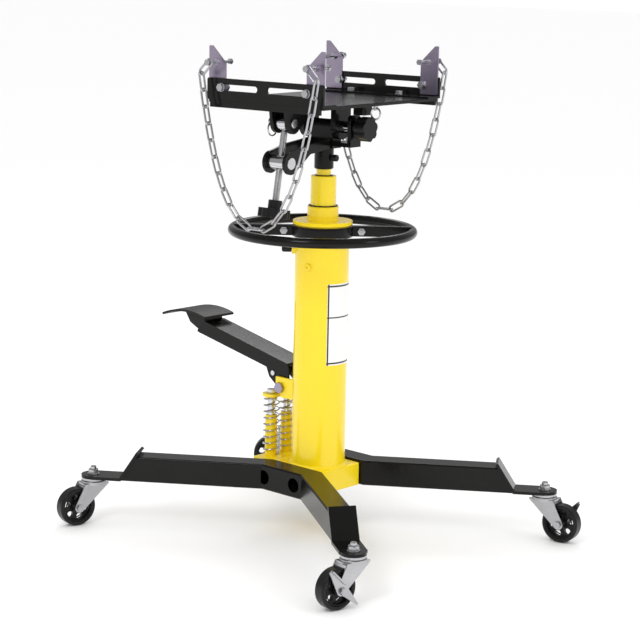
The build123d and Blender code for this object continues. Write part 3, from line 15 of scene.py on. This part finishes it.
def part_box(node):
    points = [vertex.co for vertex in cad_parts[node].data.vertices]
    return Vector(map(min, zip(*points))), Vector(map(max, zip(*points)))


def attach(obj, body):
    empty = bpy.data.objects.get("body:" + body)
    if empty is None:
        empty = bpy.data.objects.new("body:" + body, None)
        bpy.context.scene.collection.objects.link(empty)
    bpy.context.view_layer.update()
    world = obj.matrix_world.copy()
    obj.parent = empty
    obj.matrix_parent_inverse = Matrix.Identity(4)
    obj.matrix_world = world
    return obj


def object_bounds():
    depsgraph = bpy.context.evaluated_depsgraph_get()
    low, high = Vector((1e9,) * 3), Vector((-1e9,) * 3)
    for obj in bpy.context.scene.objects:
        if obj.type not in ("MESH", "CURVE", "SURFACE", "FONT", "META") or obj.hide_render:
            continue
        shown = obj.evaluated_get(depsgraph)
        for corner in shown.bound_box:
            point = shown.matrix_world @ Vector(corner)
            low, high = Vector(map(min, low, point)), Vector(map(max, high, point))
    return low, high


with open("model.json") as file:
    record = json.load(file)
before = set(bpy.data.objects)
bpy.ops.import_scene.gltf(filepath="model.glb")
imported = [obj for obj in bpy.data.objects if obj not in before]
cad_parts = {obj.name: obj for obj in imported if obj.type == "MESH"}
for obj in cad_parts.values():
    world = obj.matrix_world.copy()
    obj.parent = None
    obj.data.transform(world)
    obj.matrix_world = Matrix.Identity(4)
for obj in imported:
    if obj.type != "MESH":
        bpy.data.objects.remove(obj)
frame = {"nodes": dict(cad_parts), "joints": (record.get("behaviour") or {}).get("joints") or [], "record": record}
frame_box = [list(corner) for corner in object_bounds()]
print("frame box", frame_box)

# %% [markdown]
# ## The camera
# The jack stands on the floor and is seen from the front left corner, a little above the middle.
# A long lens from three and a half metres keeps the verticals nearly parallel.

# %% Camera
CAMERA_PLACE = (2.4655, -2.6809, 1.1283)
CAMERA_TURN = 42.47
CAMERA_TILT = 79.16
CAMERA_ROLL = 0.0198

lens = bpy.data.cameras.new("studio_camera")
lens.lens = 108.36
lens.sensor_width = 36.0
lens.shift_x = -0.0012
lens.shift_y = -0.0044
camera = bpy.data.objects.new("studio_camera", lens)
camera.matrix_world = (
    Matrix.Translation(CAMERA_PLACE)
    @ Matrix.Rotation(math.radians(CAMERA_TURN), 4, "Z")
    @ Matrix.Rotation(math.radians(CAMERA_TILT), 4, "X")
    @ Matrix.Rotation(CAMERA_ROLL, 4, "Z")
)
bpy.context.scene.collection.objects.link(camera)
bpy.context.scene.camera = camera
print("camera", [round(x, 3) for x in camera.matrix_world.translation])

# %% [markdown]
# ## Shader maths as expressions
# A finish is a small sum of noises and masks. Wiring each sum by hand hides it, so `Value` wraps
# one socket and turns `+`, `-`, `*` and `/` into Math nodes. Every other node comes from
# `Finish.node`, which takes the node's type, its settings and its socket values.

# %% Values and finishes
class Value:
    def __init__(self, finish, socket):
        self.finish = finish
        self.socket = socket

    def math(self, operation, first, second=0.0):
        return self.finish.node("Math", {"operation": operation}, {0: first, 1: second})

    def __add__(self, other):
        return self.math("ADD", self, other)

    def __sub__(self, other):
        return self.math("SUBTRACT", self, other)

    def __rsub__(self, other):
        return self.math("SUBTRACT", other, self)

    def __mul__(self, other):
        return self.math("MULTIPLY", self, other)

    def __truediv__(self, other):
        return self.math("DIVIDE", self, other)

    def above(self, edge):
        return self.math("GREATER_THAN", self, edge)

    def size(self):
        return self.math("ABSOLUTE", self)

    __radd__ = __add__
    __rmul__ = __mul__


class Finish:
    def __init__(self, name):
        self.material = bpy.data.materials.new(name)
        self.material.use_nodes = True
        self.tree = self.material.node_tree
        self.tree.nodes.clear()
        self.place = self.node("TexCoord", output="Object")

    def node(self, kind, settings=None, values=None, output=0):
        made = self.tree.nodes.new("ShaderNode" + kind)
        for key, setting in (settings or {}).items():
            setattr(made, key, setting)
        for name, value in (values or {}).items():
            socket = made.inputs[name]
            if isinstance(value, Value):
                self.tree.links.new(value.socket, socket)
            elif socket.type == "RGBA" and len(value) == 3:
                socket.default_value = (*value, 1.0)
            else:
                socket.default_value = value
        return Value(self, made.outputs[output]) if made.outputs else None

    def noise(self, scale, detail=2.0, stretch=None):
        place = self.place
        if stretch:
            place = self.node("Mapping", {}, {"Vector": place, "Scale": stretch})
        return self.node(
            "TexNoise", {}, {"Vector": place, "Scale": scale, "Detail": detail}, "Fac"
        )

    def blend(self, factor, first, second):
        return self.node(
            "Mix",
            {"data_type": "RGBA"},
            {"Factor": factor, 6: first, 7: second},
            2,
        )

    def surface(self, edge=0.0006, bump=None, height=0.0002, **sockets):
        normal = self.node("Bevel", {"samples": 4}, {"Radius": edge})
        if bump:
            normal = self.node(
                "Bump",
                {},
                {"Height": bump, "Distance": height, "Strength": 1.0, "Normal": normal},
            )
        values = {name.replace("_", " "): value for name, value in sockets.items()}
        values["Normal"] = normal
        shader = self.node("BsdfPrincipled", {}, values)
        self.node("OutputMaterial", {}, {"Surface": shader})
        return self.material


print("shader maths ready")

# %% [markdown]
# ## Gloss enamel
# The jack is sprayed and baked: a thick gloss coat with a faint orange peel, over steel. A fine
# noise bends the reflections, a broad one lets the gloss drift a little, and a Bevel node rounds
# each sharp edge so that it catches light as a painted edge does.

# %% Painted finishes
def enamel(name, colour, shade, roughness, gloss, peel=0.00004):
    paint = Finish(name)
    drift = paint.noise(9.0, 3.0)
    speck = paint.noise(420.0, 2.0)
    fresh = paint.blend(drift, colour, shade)
    dusty = (speck - 0.62).above(0.0) * 0.05
    return paint.surface(
        edge=0.0009,
        bump=paint.noise(520.0, 1.0) + paint.noise(130.0, 1.0) * 2.0,
        height=peel,
        Base_Color=fresh,
        Roughness=roughness + drift * 0.08 + dusty,
        Coat_Weight=gloss,
        Coat_Roughness=0.06,
        Specular_IOR_Level=gloss,
    )


YELLOW = (0.94, 0.70, 0.003)
YELLOW_SHADE = (0.90, 0.66, 0.003)
BLACK = (0.004, 0.0038, 0.0036)
BLACK_SHADE = (0.008, 0.0075, 0.007)

yellow_paint = enamel("yellow_enamel", YELLOW, YELLOW_SHADE, 0.22, 0.45)
black_paint = enamel("black_enamel", BLACK, BLACK_SHADE, 0.16, 0.14)
print("paints", yellow_paint.name, black_paint.name)

# %% [markdown]
# ## Plated and polished metal
# Zinc plate is dull and slightly crystalline, chrome is a mirror with hairline scratches, and the
# saddle's end plates carry a passivated zinc with a faint violet cast. All of them are fully
# metallic: only tint, roughness and the size of the surface pattern differ.

# %% Metal finishes
def plating(name, colour, tint, roughness, grain, edge=0.0004, scratch=0.0):
    metal = Finish(name)
    cloud = metal.noise(28.0, 4.0)
    spangle = metal.node(
        "TexVoronoi", {"feature": "F1"}, {"Vector": metal.place, "Scale": grain}, "Distance"
    )
    hairline = metal.noise(260.0, 2.0, (1.0, 1.0, 0.08))
    return metal.surface(
        edge=edge,
        bump=spangle * 0.5 + hairline,
        height=0.00002,
        Base_Color=metal.blend(cloud, colour, tint),
        Metallic=1.0,
        Roughness=roughness + cloud * 0.10 + spangle * 0.05 + hairline * scratch,
    )


zinc_steel = plating("bright_zinc", (0.56, 0.56, 0.58), (0.42, 0.42, 0.44), 0.20, 900.0)
fork_zinc = plating("pressed_zinc", (0.54, 0.54, 0.56), (0.40, 0.40, 0.42), 0.22, 500.0)
zinc_plate = plating("violet_zinc", (0.30, 0.26, 0.37), (0.44, 0.38, 0.47), 0.22, 700.0)
chrome = plating("polished_chrome", (0.66, 0.66, 0.68), (0.58, 0.58, 0.60), 0.06, 1500.0)
cast_steel = plating("machined_steel", (0.30, 0.29, 0.28), (0.22, 0.21, 0.21), 0.36, 600.0)
print("metals", zinc_steel.name, fork_zinc.name, zinc_plate.name, chrome.name, cast_steel.name)

# %% [markdown]
# ## Moulded plastic, nylon and rubber
# Hand knobs are glass-filled plastic with a fine grain, the wheels are dense nylon, and the foot
# pad is a rubber sleeve. A noise at the grain's own scale is enough: the gloss makes them differ.

# %% Moulded finishes
def moulded(name, colour, roughness, grain, height, coat=0.0):
    plastic = Finish(name)
    fine = plastic.noise(grain, 3.0)
    broad = plastic.noise(14.0, 2.0)
    return plastic.surface(
        edge=0.0007,
        bump=fine,
        height=height,
        Base_Color=plastic.blend(broad, colour, [x * 1.7 for x in colour]),
        Roughness=roughness + fine * 0.12,
        Coat_Weight=coat,
        Coat_Roughness=0.2,
        Specular_IOR_Level=0.22,
    )


black_plastic = moulded("knob_plastic", (0.007, 0.007, 0.0075), 0.26, 900.0, 0.00008)
wheel_black = moulded("wheel_nylon", (0.006, 0.006, 0.0065), 0.26, 700.0, 0.00006, 0.05)
black_rubber = moulded("pad_rubber", (0.010, 0.009, 0.009), 0.34, 800.0, 0.00012)
print("moulded", black_plastic.name, wheel_black.name, black_rubber.name)

# %% [markdown]
# ## The blank label
# The column carries a white film with a printed black frame and one dividing line. The frame is a
# colour mask on height and on the angle round the column's axis; the rest is left bare.

# %% Label film
label_low, label_high = (Vector(corner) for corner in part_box("blank_label"))
FRAME_INSET = 0.004
FRAME_WIDTH = 0.0016
DIVIDER_DOWN = 0.41

film = Finish("label_film")
axes = film.node("SeparateXYZ", {}, {0: film.place})
height = Value(film, axes.socket.node.outputs["Z"])


def line_at(level, value, width):
    return 1.0 - (value - level).size().above(width)


top_line = line_at(label_high.z - FRAME_INSET, height, FRAME_WIDTH)
low_line = line_at(label_low.z + FRAME_INSET, height, FRAME_WIDTH)
divider = line_at(
    label_high.z - DIVIDER_DOWN * (label_high.z - label_low.z), height, FRAME_WIDTH * 0.8
)
column_low, column_high = (Vector(corner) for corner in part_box("reservoir_tube"))
column_axis = (column_low + column_high) / 2
across = Value(film, axes.socket.node.outputs["X"]) - column_axis.x
along = Value(film, axes.socket.node.outputs["Y"]) - column_axis.y
turn = along.math("ARCTAN2", along, across)
LABEL_TURN = 0.314
LABEL_HALF = 0.873
LABEL_RADIUS = 0.0555
side_line = line_at(LABEL_HALF, (turn - LABEL_TURN).size(), FRAME_WIDTH / LABEL_RADIUS)
printed = top_line + low_line + divider + side_line
label_film = film.surface(
    edge=0.0002,
    bump=film.noise(300.0),
    height=0.00002,
    Base_Color=film.blend(printed, (0.88, 0.88, 0.86), (0.02, 0.02, 0.02)),
    Roughness=0.3 + film.noise(40.0) * 0.1,
)
print("label from", round(label_low.z, 3), "to", round(label_high.z, 3))

# %% [markdown]
# ## Each CAD node gets its finish
# The record names a material slot for every node, so one small table turns slots into finishes.

# %% Finish the CAD nodes
FINISHES = {
    "yellow_paint": yellow_paint,
    "black_paint": black_paint,
    "black_rubber": black_rubber,
    "black_plastic": black_plastic,
    "zinc_plate": zinc_plate,
    "zinc_steel": zinc_steel,
    "chrome": chrome,
    "cast_steel": cast_steel,
    "label_film": label_film,
    "fork_zinc": fork_zinc,
    "wheel_black": wheel_black,
}
for part in frame["record"]["subparts"]:
    slots = frame["nodes"][part["node"]].data.materials
    slots.clear()
    slots.append(FINISHES[part["material_slot"]])

# %% [markdown]
# ## Pieces that are turned round an axis
# Threads, weld beads, wipers and rims are all a small round section carried round an axis, which
# is how they are made too: a die, a torch or a lathe tool goes round the work. `section` draws the
# section beside the local z axis, a spin carries it round, and `settle` closes open ends, merges
# doubles, turns the mesh onto its real axis and lets it ride on its body.

# %% Spun pieces
joint_table = {joint["name"]: joint for joint in frame["joints"]}


def section(radius, thick, points=8):
    mesh = bmesh.new()
    made = bmesh.ops.create_circle(mesh, cap_ends=False, segments=points, radius=thick)
    bmesh.ops.rotate(
        mesh, verts=made["verts"], cent=(0, 0, 0), matrix=Matrix.Rotation(math.pi / 2, 3, "X")
    )
    bmesh.ops.translate(mesh, verts=made["verts"], vec=(radius, 0, 0))
    return mesh


def settle(mesh, name, body, finish, centre=(0, 0, 0), axis=(0, 0, 1)):
    open_edges = [edge for edge in mesh.edges if edge.is_boundary]
    if open_edges:
        bmesh.ops.holes_fill(mesh, edges=open_edges, sides=0)
    bmesh.ops.remove_doubles(mesh, verts=mesh.verts, dist=0.00001)
    bmesh.ops.recalc_face_normals(mesh, faces=mesh.faces)
    turn = Vector((0, 0, 1)).rotation_difference(Vector(axis)).to_matrix().to_4x4()
    bmesh.ops.transform(mesh, matrix=Matrix.Translation(centre) @ turn, verts=mesh.verts)
    data = bpy.data.meshes.new(name)
    mesh.to_mesh(data)
    mesh.free()
    data.polygons.foreach_set("use_smooth", [True] * len(data.polygons))
    data.materials.append(finish)
    piece = bpy.data.objects.new(name, data)
    bpy.context.scene.collection.objects.link(piece)
    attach(piece, body)
    print(name, "on", body, "faces", len(data.polygons))
    return piece


def bead(name, body, finish, centre, axis, radius, thick, steps=64):
    mesh = section(radius, thick)
    bmesh.ops.spin(
        mesh,
        geom=mesh.verts[:] + mesh.edges[:],
        cent=(0, 0, 0),
        axis=(0, 0, 1),
        angle=math.tau,
        steps=steps,
        use_merge=True,
    )
    return settle(mesh, name, body, finish, centre, axis)


def thread(name, body, finish, centre, axis, radius, pitch, length, steps=16):
    mesh = section(radius, pitch * 0.36, 6)
    turns = length / pitch
    bmesh.ops.spin(
        mesh,
        geom=mesh.verts[:] + mesh.edges[:],
        cent=(0, 0, 0),
        axis=(0, 0, 1),
        dvec=(0, 0, pitch / steps),
        angle=math.tau * turns,
        steps=round(steps * turns),
        use_merge=False,
    )
    return settle(mesh, name, body, finish, centre, axis)


def corners(node):
    low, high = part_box(node)
    return Vector(low), Vector(high)


def middle(node):
    low, high = corners(node)
    return (low + high) / 2


# %% [markdown]
# ## Welds and wipers on the column
# The column is welded into the housing all round, so a fillet bead runs round its foot. A lip seal
# keeps dirt off each ram: a dark ring stands a little proud of the collar that the ram slides in.

# %% Column bead and ram wipers
UP = (0, 0, 1)
WELD_OUT = 0.0005
WELD_THICK = 0.003
LOWER_WIPER_OUT = 0.0022
LOWER_WIPER_THICK = 0.0019
UPPER_WIPER_OUT = 0.0020
UPPER_WIPER_THICK = 0.0016

column = middle("reservoir_tube")
column_r = (column_high.x - column_low.x) / 2
house_top = corners("base_housing")[1].z
bead("column_foot_weld", "base", yellow_paint, (column.x, column.y, house_top), UP,
     column_r + WELD_OUT, WELD_THICK)

ram_low, ram_high = corners("stage_one_ram")
ram_r = (ram_high.x - ram_low.x) / 2
gland_top = corners("gland_collar")[1].z
bead("lower_wiper", "base", black_rubber, (column.x, column.y, gland_top), UP,
     ram_r + LOWER_WIPER_OUT, LOWER_WIPER_THICK)
inner_low, inner_high = corners("stage_two_ram")
inner_r = (inner_high.x - inner_low.x) / 2
bead("upper_wiper", "ram_one", black_rubber, (column.x, column.y, ram_high.z), UP,
     inner_r + UPPER_WIPER_OUT, UPPER_WIPER_THICK)

# %% [markdown]
# ## Threads
# The tilt screw is threaded from its eye to the knob, and turning the knob draws the saddle down.
# A section that climbs one pitch for each turn makes the ridge over the CAD's plain core.

# %% Tilt screw thread
eye = Vector(joint_table["screw_swing"]["pos_m"])
barrel = Vector(joint_table["trunnion_turn"]["pos_m"])
down = (barrel - eye).normalized()
THREAD_START = 0.018
THREAD_LENGTH = 0.138
THREAD_PITCH = 0.002
THREAD_RADIUS = 0.0059
thread("tilt_screw_thread", "tilt_screw", zinc_steel, eye + down * THREAD_START, down,
       THREAD_RADIUS, THREAD_PITCH, THREAD_LENGTH)

# %% [markdown]
# ## Wheel faces
# Each wheel is moulded with a raised ring on both faces, between the tread and the hub. The ring is
# a spun bead that rides on the wheel and turns with it.

# %% Wheel rings
FACE_OUT = 0.0115
FACE_SHARE = 0.74
FACE_BEAD = 0.0012
FACE_STEPS = 48
NAMES = ("left", "front", "right", "back")
for name in NAMES:
    roll = joint_table["roll_" + name]
    hub = Vector(roll["pos_m"])
    axle = Vector(roll["axis"])
    wheel_low, wheel_high = corners("caster_wheel_" + name)
    wheel_r = (wheel_high.z - wheel_low.z) / 2
    for side in (-1, 1):
        face = hub + axle * side * FACE_OUT
        bead(f"wheel_ring_{name}_{side + 1}", "wheel_" + name, wheel_black, face, axle,
             wheel_r * FACE_SHARE, FACE_BEAD, FACE_STEPS)
    stem = Vector(joint_table["swivel_" + name]["pos_m"])
    print(name, "wheel radius", round(wheel_r, 4), "stem", [round(x, 3) for x in stem])

# %% [markdown]
# ## Ribs of the release knob
# One thin rod beside the axis, repeated by a spin with duplicates, gives a ring of ribs. The ring
# is set off towards the column, so it stands round the stem behind the knob and not on its rim.

# %% Knob ribs
RIBS = 16
RIB_LENGTH = 0.009
RIB_THICK = 0.0008
RIB_SETBACK = 0.004
LEAST_SHARE = 0.1
LEAST_REACH = 0.01
valve = joint_table["release_turn"]
valve_axis = -Vector(valve["axis"])
valve_centre = Vector(valve["pos_m"])
knob_low, knob_high = corners("release_knob")
knob_r = (knob_high.z - knob_low.z) / 2
outward = Vector((valve_axis.x, valve_axis.y, 0)).normalized()
reach = max(
    abs((knob_low.x if outward.x < 0 else knob_high.x) - valve_centre.x) / max(abs(outward.x), LEAST_SHARE),
    LEAST_REACH,
)
start = valve_centre + outward * (reach - RIB_LENGTH - RIB_SETBACK)
ribs = section(knob_r, RIB_THICK, 6)
bmesh.ops.contextual_create(ribs, geom=ribs.edges[:])
bmesh.ops.rotate(ribs, verts=ribs.verts, cent=(knob_r, 0, 0),
                 matrix=Matrix.Rotation(math.pi / 2, 3, "X"))
rod = bmesh.ops.extrude_face_region(ribs, geom=ribs.faces[:])
moved = [item for item in rod["geom"] if isinstance(item, bmesh.types.BMVert)]
bmesh.ops.translate(ribs, verts=moved, vec=(0, 0, RIB_LENGTH))
bmesh.ops.spin(ribs, geom=ribs.verts[:] + ribs.edges[:] + ribs.faces[:], cent=(0, 0, 0),
               axis=(0, 0, 1), angle=math.tau, steps=RIBS, use_duplicate=True)
settle(ribs, "release_knob_ribs", "release_knob", black_plastic, start, outward)
print("rib ring starts", [round(x, 3) for x in start], "radius", round(knob_r, 4))

# %% [markdown]
# ## Floor and light
# A pale floor under a bright, even sky gives soft shadows. The sky is dimmer in reflections, so that
# gloss black stays black. One broad lamp from the upper left
# draws the long highlights on the gloss paint, a second fills the right, and a third behind
# outlines the dark parts.

# %% Studio
FLOOR_HALF = 30.0
FLOOR_GAP = 0.0005
SKY_DIFFUSE = 1.06
SKY_GLOSSY = 0.40

plane = bmesh.new()
bmesh.ops.create_grid(plane, x_segments=2, y_segments=2, size=FLOOR_HALF)
bmesh.ops.translate(plane, verts=plane.verts, vec=(0.0, 0.0, frame_box[0][2] - FLOOR_GAP))
floor_mesh = bpy.data.meshes.new("studio_floor")
plane.to_mesh(floor_mesh)
plane.free()
floor = bpy.data.objects.new("studio_floor", floor_mesh)
bpy.context.scene.collection.objects.link(floor)
ground = Finish("studio_floor")
shade = ground.noise(3.0)
floor_mesh.materials.append(
    ground.surface(
        edge=0.0001,
        Base_Color=ground.blend(shade, (0.97, 0.97, 0.97), (0.96, 0.96, 0.96)),
        Roughness=0.7 + shade * 0.1,
        Specular_IOR_Level=0.1,
    )
)

world = bpy.data.worlds.new("studio_sky")
world.use_nodes = True
bpy.context.scene.world = world
wires = world.node_tree.links.new
sky = world.node_tree.nodes["Background"]
sky.inputs["Color"].default_value = (1.0, 1.0, 1.0, 1.0)
rays = world.node_tree.nodes.new("ShaderNodeLightPath")
dimmed = world.node_tree.nodes.new("ShaderNodeMapRange")
dimmed.inputs["To Min"].default_value = SKY_DIFFUSE
dimmed.inputs["To Max"].default_value = SKY_GLOSSY
seen = world.node_tree.nodes.new("ShaderNodeMath")
seen.operation = "MAXIMUM"
wires(rays.outputs["Is Glossy Ray"], dimmed.inputs["Value"])
wires(dimmed.outputs["Result"], seen.inputs[0])
wires(rays.outputs["Is Camera Ray"], seen.inputs[1])
wires(seen.outputs[0], sky.inputs["Strength"])


def lamp(name, place, target, width, height, power):
    light = bpy.data.lights.new(name, "AREA")
    light.shape = "RECTANGLE"
    light.size = width
    light.size_y = height
    light.energy = power
    holder = bpy.data.objects.new(name, light)
    place, target = Vector(place), Vector(target)
    turn = (place - target).to_track_quat("Z", "Y").to_matrix().to_4x4()
    holder.matrix_world = Matrix.Translation(place) @ turn
    bpy.context.scene.collection.objects.link(holder)
    return holder


lamp("key_light", (0.6, -2.6, 2.6), (0.0, 0.0, 0.5), 1.0, 1.0, 24.0)
lamp("fill_light", (3.0, 0.8, 1.6), (0.0, 0.0, 0.5), 0.9, 1.5, 10.0)
lamp("rim_light", (-1.8, 2.2, 2.4), (0.0, 0.0, 0.6), 1.6, 1.0, 18.0)
bpy.context.scene.view_settings.view_transform = "Standard"
print("studio ready")
